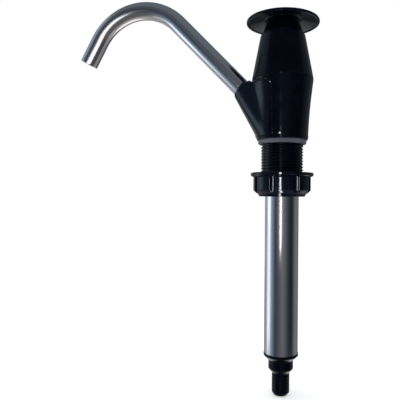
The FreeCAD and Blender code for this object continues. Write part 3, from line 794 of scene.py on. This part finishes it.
def branchPlanes(size, way, mouth):
    # planes that touch both the round mouth and a ring round the head, as (normal, reach)
    rings = [(z, float(flankRadius(size, np.array(z))) + size.ringMargin, side)
             for z, side in ((size.saddleLow, -1), (size.saddleHigh, 1))]
    fan = np.radians(np.linspace(180 - size.wallFan, 180 + size.wallFan, size.wallCount))

    def normalOf(turn, tilt):
        return np.array([math.cos(turn) * math.cos(tilt), math.sin(turn) * math.cos(tilt),
                         math.sin(tilt)])

    def mouthReach(n):
        return float(n @ mouth + size.mouthRadius * math.sqrt(max(0, 1 - (n @ way) ** 2)))

    def gap(n, z, radius):
        return mouthReach(n) - float(n[2] * z + radius * math.hypot(n[0], n[1]))

    planes = []
    for z, radius, side in rings:
        for turn in fan:
            a, b = math.radians(size.wallLean * side), 0.0
            if gap(normalOf(turn, a), z, radius) * gap(normalOf(turn, b), z, radius) > 0:
                continue
            # the tilt is found by halving
            for _ in range(size.halvings):
                middle = (a + b) / 2
                if gap(normalOf(turn, a), z, radius) * gap(normalOf(turn, middle), z, radius) <= 0:
                    b = middle
                else:
                    a = middle
            n = normalOf(turn, a)
            planes.append((*n, mouthReach(n)))
    # level walls beside the mouth
    for turn in fan:
        n = normalOf(turn, 0.0)
        planes.append((*n, max(mouthReach(n), rings[1][1])))
    planes.append((*way, float(way @ mouth)))
    planes.append((0, 0, -1, -size.saddleLow))
    return np.array(planes)


def makeHeadField(size, tube):
    planes = branchPlanes(size, *spoutLine(tube))

    def wedgeField(p):
        # the branch: inside all of its planes, with rounded edges between them
        wedge = np.full(len(p), size.farOut)
        near = p[:, 0] < size.wedgeFrom
        worst = p[near] @ planes[:, :3].T - planes[:, 3]
        peak = worst.max(1)
        sums = np.exp((worst - peak[:, None]) / size.wallBlend).sum(1)
        soft = peak + size.wallBlend * np.log(sums) - size.wallInset
        wedge[near] = np.maximum(soft, peak - size.wallBite)
        top = p[:, 2] - size.saddleHigh - np.maximum(0, size.topFlat - p[:, 0]) * size.topSlope
        wedge = softMax(wedge, top, size.topBlend)
        return softMax(wedge, p[:, 0] - size.wedgeBack, size.backBlend)

    def field(p):
        radius = np.hypot(p[:, 0], p[:, 1])
        z = p[:, 2]
        bead = size.beadHeight * np.exp(-((z - size.beadPlace) / size.beadWidth) ** 2)
        side = (radius - flankRadius(size, z) - bead) * size.flankLean
        cone = softMax(side, size.base - z, size.edgeRound)
        cone = softMax(cone, z - size.seam, size.edgeRound)
        # the raised panel that saddles the head behind the branch
        away = np.degrees(np.arccos(np.clip(-p[:, 0] / np.maximum(radius, tiny), -1, 1)))
        around = np.radians(away - size.saddleAngle) * radius
        over = np.stack([around, z - size.saddleHigh]) + size.cornerRound
        patch = np.hypot(*np.maximum(over, 0)) + np.minimum(over.max(0), 0) - size.cornerRound
        patch = softMax(patch, size.saddleLow - z, size.footBlend)
        saddle = softMax(side - size.saddleSkin, patch, size.saddleEdge)
        whole = softMin(cone, wedgeField(p), size.fillet)
        return softMin(whole, saddle, size.saddleBlend)

    return field


def skinOfField(field, low, high, cell):
    # one vertex per mixed cell, one face per crossed grid edge, then drawn onto the surface
    chunk, pulls, step = 60000, 4, 1e-3
    leastSlope, longestPull = 0.05, 0.5
    axes = [np.arange(a, b + cell, cell) for a, b in zip(low, high)]
    grid = np.stack(np.meshgrid(*axes, indexing="ij"), -1)
    flat = grid.reshape(-1, 3)
    parts = np.array_split(flat, 1 + len(flat) // chunk)
    values = np.concatenate([field(part) for part in parts]).reshape(grid.shape[:3])
    inside = values < 0
    counts = sum(inside[i:i - 1 or None, j:j - 1 or None, k:k - 1 or None].astype(int)
                 for i in (0, 1) for j in (0, 1) for k in (0, 1))
    mixed = (counts > 0) & (counts < 8)
    index = -np.ones(mixed.shape, int)
    index[mixed] = np.arange(mixed.sum())
    cells = np.argwhere(mixed)
    sums = np.zeros((len(cells), 3))
    hits = np.zeros(len(cells))
    for axis in range(3):
        others = [a for a in range(3) if a != axis]
        for u in (0, 1):
            for v in (0, 1):
                start = cells.copy()
                start[:, others[0]] += u
                start[:, others[1]] += v
                end = start.copy()
                end[:, axis] += 1
                a = values[tuple(start.T)]
                b = values[tuple(end.T)]
                cross = (a < 0) != (b < 0)
                share = np.where(cross, a / np.where(a == b, 1, a - b), 0)
                point = start + 0.0
                point[:, axis] += share
                sums[cross] += point[cross]
                hits[cross] += 1
    verts = sums / hits[:, None] * cell + np.array([a[0] for a in axes])
    faces = []
    for axis in range(3):
        o1, o2 = [a for a in range(3) if a != axis]
        cut = [slice(None)] * 3
        cut[axis] = slice(0, -1)
        ahead = [slice(None)] * 3
        ahead[axis] = slice(1, None)
        change = inside[tuple(cut)] != inside[tuple(ahead)]
        edges = np.argwhere(change)
        edges = edges[(edges[:, o1] > 0) & (edges[:, o2] > 0)
                      & (edges[:, o1] < mixed.shape[o1]) & (edges[:, o2] < mixed.shape[o2])]
        corners = []
        for u, v in ((0, 0), (1, 0), (1, 1), (0, 1)):
            at = edges.copy()
            at[:, o1] -= u
            at[:, o2] -= v
            corners.append(index[tuple(at.T)])
        quads = np.stack(corners, 1)
        outward = inside[tuple(edges.T)]
        flip = outward if axis != 1 else ~outward
        quads[flip] = quads[flip][:, ::-1]
        faces.append(quads)
    faces = np.concatenate(faces)
    for _ in range(pulls):
        value = field(verts)
        slope = np.stack([(field(verts + e) - field(verts - e)) / (2 * step)
                          for e in np.eye(3) * step], 1)
        length = np.maximum((slope ** 2).sum(1), leastSlope)
        move = -slope * (value / length)[:, None]
        size = np.linalg.norm(move, axis=1, keepdims=True)
        verts = verts + move * np.minimum(1, longestPull * cell / np.maximum(size, tiny))
    return verts, faces


def makeHead(size, tube):
    verts, faces = skinOfField(makeHeadField(size, tube), size.low, size.high, size.cell)
    piece = meshObject("pumpHead", verts * mm, [tuple(int(i) for i in f) for f in faces],
                       blackPlastic)
    print("head skin:", len(verts), "points")
    void = turnedPiece("headVoid", [
        (0, -1), (size.barrelSocket, -1), (size.barrelSocket, size.barrelSeat),
        (size.throat, size.barrelSeat), (size.throat, size.chamberFloor),
        (size.chamber, size.chamberFloor), (size.chamber, size.voidTop), (0, size.voidTop),
    ], blackPlastic, 96)
    wide = size.spoutSocket + size.socketChamfer
    socket = turnedPiece("socketVoid", [
        (0, -size.socketDepth), (size.spoutSocket, -size.socketDepth),
        (size.spoutSocket, -0.6), (wide, 0.4), (wide, 4), (0, 4),
    ], blackPlastic, 96)
    way, mouth = map(Vector, spoutLine(tube))
    turn = way.to_track_quat("Z", "Y").to_matrix().to_4x4()
    turn.translation = mouth * mm
    socket.data.transform(turn)
    for tool in (void, socket):
        change = piece.modifiers.new(tool.name, "BOOLEAN")
        change.operation = "DIFFERENCE"
        change.solver = "MANIFOLD"
        change.object = tool
    freeze(piece)
    for tool in (void, socket):
        bpy.data.objects.remove(tool)
    piece.data.polygons.foreach_set("use_smooth", [True] * len(piece.data.polygons))
    piece.data.set_sharp_from_angle(angle=math.radians(size.sharpAngle))
    return dress(piece, "pump_body", "black_plastic", "head_body")


makeHead(head, spout)
print("stage: head made")


# inner pieces that stay as they are
finishes = {
    "white_acetal": whiteAcetal, "seal_rubber": blackRubber, "stainless_steel": turnedSteel,
    "black_plastic": blackPlastic, "chrome_tube": turnedSteel, "gasket_rubber": greyRubber,
}
for row in frame["record"]["subparts"]:
    node = frame["nodes"][row["node"]]
    if node.hide_render:
        continue
    for spot in node.material_slots:
        spot.material = finishes[row["material_slot"]]
print("stage: inner pieces dressed")


# the studio: directions are given as seen along the camera's level line of sight
studio = Settings(
    lookTurn=10.44, floorHeight=-0.2121, floorSize=12.0, floorColour=(0.80, 0.80, 0.80, 1),
    floorGlow=0.40, softColour=(0.96, 0.98, 1, 1), softLight=0.85, white=(1, 1, 1, 1))
lookTurn = math.radians(studio.lookTurn)
rightWay = Vector((math.cos(lookTurn), math.sin(lookTurn), 0))
lookWay = Vector((-math.sin(lookTurn), math.cos(lookTurn), 0))


def makeFloor():
    half, z = studio.floorSize / 2, studio.floorHeight
    made, skin = newMaterial("paleFloor")
    rays = signals(addNode(made.node_tree, "ShaderNodeLightPath"))
    feed(skin, Base_Color=studio.floorColour, Roughness=0.9, Specular_IOR_Level=0.1,
         Emission_Color=studio.white, Emission_Strength=rays["Is Camera Ray"] * studio.floorGlow)
    made.cycles.emission_sampling = "NONE"
    corners = [(-half, -half, z), (half, -half, z), (half, half, z), (-half, half, z)]
    floor = meshObject("studioFloor", corners, [(0, 1, 2, 3)], made)
    floor.visible_glossy = False


# what shiny faces show, in degrees of compass angle from the camera's side of the pump (left is
# negative) and of height: the walls, the ceiling, the ground and the patches on them
room = Settings(
    turn=5.5,
    walls=((-180, (0.29, 0.32, 0.36)), (-125, (0.31, 0.35, 0.40)), (-66, (0.25, 0.32, 0.40)),
           (-53, (0.15, 0.20, 0.27)), (-41, (0.026, 0.038, 0.060)), (-22, (0.055, 0.063, 0.080)),
           (14, (0.165, 0.165, 0.175)), (28, (0.125, 0.130, 0.150)), (50, (0.038, 0.042, 0.055)),
           (66, (0.015, 0.017, 0.025)), (84, (0.016, 0.019, 0.023)), (106, (0.17, 0.175, 0.17)),
           (150, (0.22, 0.22, 0.22)), (180, (0.29, 0.30, 0.30))),
    ceiling=(0.135, 0.155, 0.180, 1), ceilingFrom=16.0, ceilingTo=38.0,
    nearGround=(0.115, 0.115, 0.12, 1), farGround=(0.41, 0.39, 0.37, 1), groundBlend=0.25,
    groundFrom=-14.0, groundTo=-44.0,
    # colour, compass angle, half width, its softness, foot, top and their fade
    patches={
        "window": ((1.22, 1.38, 1.46, 1), -90.5, 15.0, 5.0, -19.0, 8.0, 2.5),
        "skylight": ((0.36, 0.42, 0.47, 1), -92.0, 22.0, 4.0, 8.0, 45.0, 2.5),
        "backdrop": ((0.60, 0.60, 0.60, 1), -145.0, 10.0, 3.0, -10.0, 18.0, 3.0),
        "rearWall": ((0.06, 0.063, 0.068, 1), 180.0, 28.0, 6.0, -21.0, 20.0, 3.0),
        "rearFloor": ((1.35, 1.32, 1.28, 1), 180.0, 35.0, 8.0, -66.0, -34.0, 9.0),
        "darkCeiling": ((0.06, 0.065, 0.08, 1), 20.0, 80.0, 8.0, 31.0, 42.0, 2.0),
    })


def makeWorld():
    world = bpy.data.worlds.new("paleRoom")
    bpy.context.scene.world = world
    world.use_nodes = True
    world.cycles.sampling_method = "NONE"
    tree = world.node_tree
    tree.nodes.clear()
    way = Signal(addNode(tree, "ShaderNodeTexCoord").outputs["Generated"])

    def along(direction):
        return vectorNode("DOT_PRODUCT", way, direction)

    def background(colour, strength=1.0):
        node = feed(addNode(tree, "ShaderNodeBackground"), Color=colour, Strength=strength)
        return Signal(node.outputs[0])

    turn = math.radians(room.turn)
    near = along(-lookWay * math.cos(turn) - rightWay * math.sin(turn))
    side = along(rightWay * math.cos(turn) - lookWay * math.sin(turn))
    compass = side.math("ARCTAN2", near) * (180 / math.pi)
    lift = along((0, 0, 1)).math("ARCSINE") * (180 / math.pi)
    ramp = addNode(tree, "ShaderNodeValToRGB")
    stops = ramp.color_ramp.elements
    while len(stops) < len(room.walls):
        stops.new(0.5)
    for stop, (angle, colour) in zip(stops, room.walls):
        stop.position = angle / 360 + 0.5
        stop.color = (*colour, 1)
    attach(ramp.inputs[0], compass.math("MULTIPLY_ADD", 1 / 360, 0.5))
    seen = mixColour(spread(lift, room.ceilingFrom, room.ceilingTo), Signal(ramp.outputs[0]),
                     room.ceiling)
    ground = mixColour(spread(near, -room.groundBlend, room.groundBlend), room.farGround,
                       room.nearGround)
    seen = mixColour(spread(lift, room.groundFrom, room.groundTo), seen, ground)
    for colour, place, half, soft, foot, top, fade in room.patches.values():
        aside = (compass - place).math("WRAP", 180.0, -180.0).math("ABSOLUTE")
        mask = spread(aside, half - soft, half + soft, 1.0, 0.0)
        mask = mask * spread(lift, foot - fade, foot + fade)
        mask = mask * spread(lift, top - fade, top + fade, 1.0, 0.0)
        seen = mixColour(mask, seen, colour)
    rays = signals(addNode(tree, "ShaderNodeLightPath"))
    mirrored = rays["Is Glossy Ray"].math("MAXIMUM", rays["Is Transmission Ray"])
    shown = background(studio.softColour, studio.softLight)
    for factor, look in ((mirrored, background(seen)),
                         (rays["Is Camera Ray"], background(studio.white))):
        mixer = addNode(tree, "ShaderNodeMixShader")
        for socket, value in zip(mixer.inputs, (factor, shown, look)):
            attach(socket, value)
        shown = Signal(mixer.outputs[0])
    attach(addNode(tree, "ShaderNodeOutputWorld").inputs[0], shown)


# lamps: the place as metres to the right, towards the camera and up, and the size of each
lamps = {
    "doorSlit": Settings(place=(-0.060, 0.435, -0.058), size=(0.045, 0.160), radiance=5.0,
                         colour=(1.0, 1.0, 0.99), without=("spoutTube",)),
    "sideCard": Settings(place=(-0.350, -0.012, 0.000), size=(0.085, 0.180), radiance=0.46,
                         colour=(0.95, 0.98, 1.0)),
    "topPanel": Settings(place=(-0.40, -0.05, 1.0), size=(0.45, 0.45), radiance=2.8,
                         colour=(1.0, 0.99, 0.97), without=("spoutTube",), aim=(0, 0, 0)),
    "tipCard": Settings(place=(-0.070, 0.710, -0.115), size=(0.80, 0.37), radiance=1.50,
                        colour=(1.0, 0.99, 1.0), only=("spoutTube",)),
    "nutCard": Settings(place=(-0.052, 0.435, -0.058), size=(0.045, 0.160), radiance=75.0,
                        colour=(1.0, 0.82, 0.68), only=("mountingNut", "clampWasher")),
    "nutFootCard": Settings(place=(-0.0074, 0.037, -0.100), size=(0.008, 0.056), radiance=42.0,
                            colour=(1.0, 0.86, 0.74), aim=(0, 0, -0.04), only=("mountingNut",)),
    "flash": Settings(place=(-0.200, 0.900, 0.340), size=(0.10, 0.10), radiance=130.0,
                      colour=(1.0, 0.87, 0.75), only=("pumpHead",)),
}


def makeLamp(name, lamp):
    # a lamp looks level at the pump's axis, or at its own aim
    right, near, height = lamp.place
    data = bpy.data.lights.new(name, "AREA")
    data.shape = "RECTANGLE"
    data.size, data.size_y = lamp.size
    data.energy = lamp.radiance * math.pi * data.size * data.size_y
    data.color = lamp.colour
    made = placed(name, data)
    made.location = rightWay * right - lookWay * near + Vector((0, 0, height))
    aim = Vector(lamp.get("aim", (0, 0, height))) - made.location
    made.rotation_euler = aim.to_track_quat("-Z", "Y").to_euler()
    made.visible_camera = False
    for rule, state in (("only", "INCLUDE"), ("without", "EXCLUDE")):
        if rule in lamp:
            group = bpy.data.collections.new(name + "Reach")
            for reached in lamp[rule]:
                group.objects.link(bpy.data.objects[reached])
            made.light_linking.receiver_collection = group
            for member in group.collection_objects:
                member.light_linking.link_state = state


cameraView = Settings(turn=14.5, right=-0.03732, back=0.39192, height=-0.04281, roll=-0.40,
                      lens=41.4, sensor=36.0, shiftX=-0.095, shiftY=-0.0125, nearest=0.01)


def makeCamera(view):
    data = bpy.data.cameras.new("viewCamera")
    data.lens = view.lens
    data.sensor_width = view.sensor
    data.shift_x = view.shiftX
    data.shift_y = view.shiftY
    data.clip_start = view.nearest
    made = placed("viewCamera", data)
    turn = math.radians(view.turn)
    made.location = (
        math.cos(turn) * view.right + math.sin(turn) * view.back,
        math.sin(turn) * view.right - math.cos(turn) * view.back, view.height)
    made.rotation_euler = (math.pi / 2, math.radians(view.roll), turn)
    bpy.context.scene.camera = made


makeFloor()
makeWorld()
for lampName, lamp in lamps.items():
    makeLamp(lampName, lamp)
makeCamera(cameraView)
bpy.context.scene.view_settings.view_transform = "Standard"
print("stage: studio made")
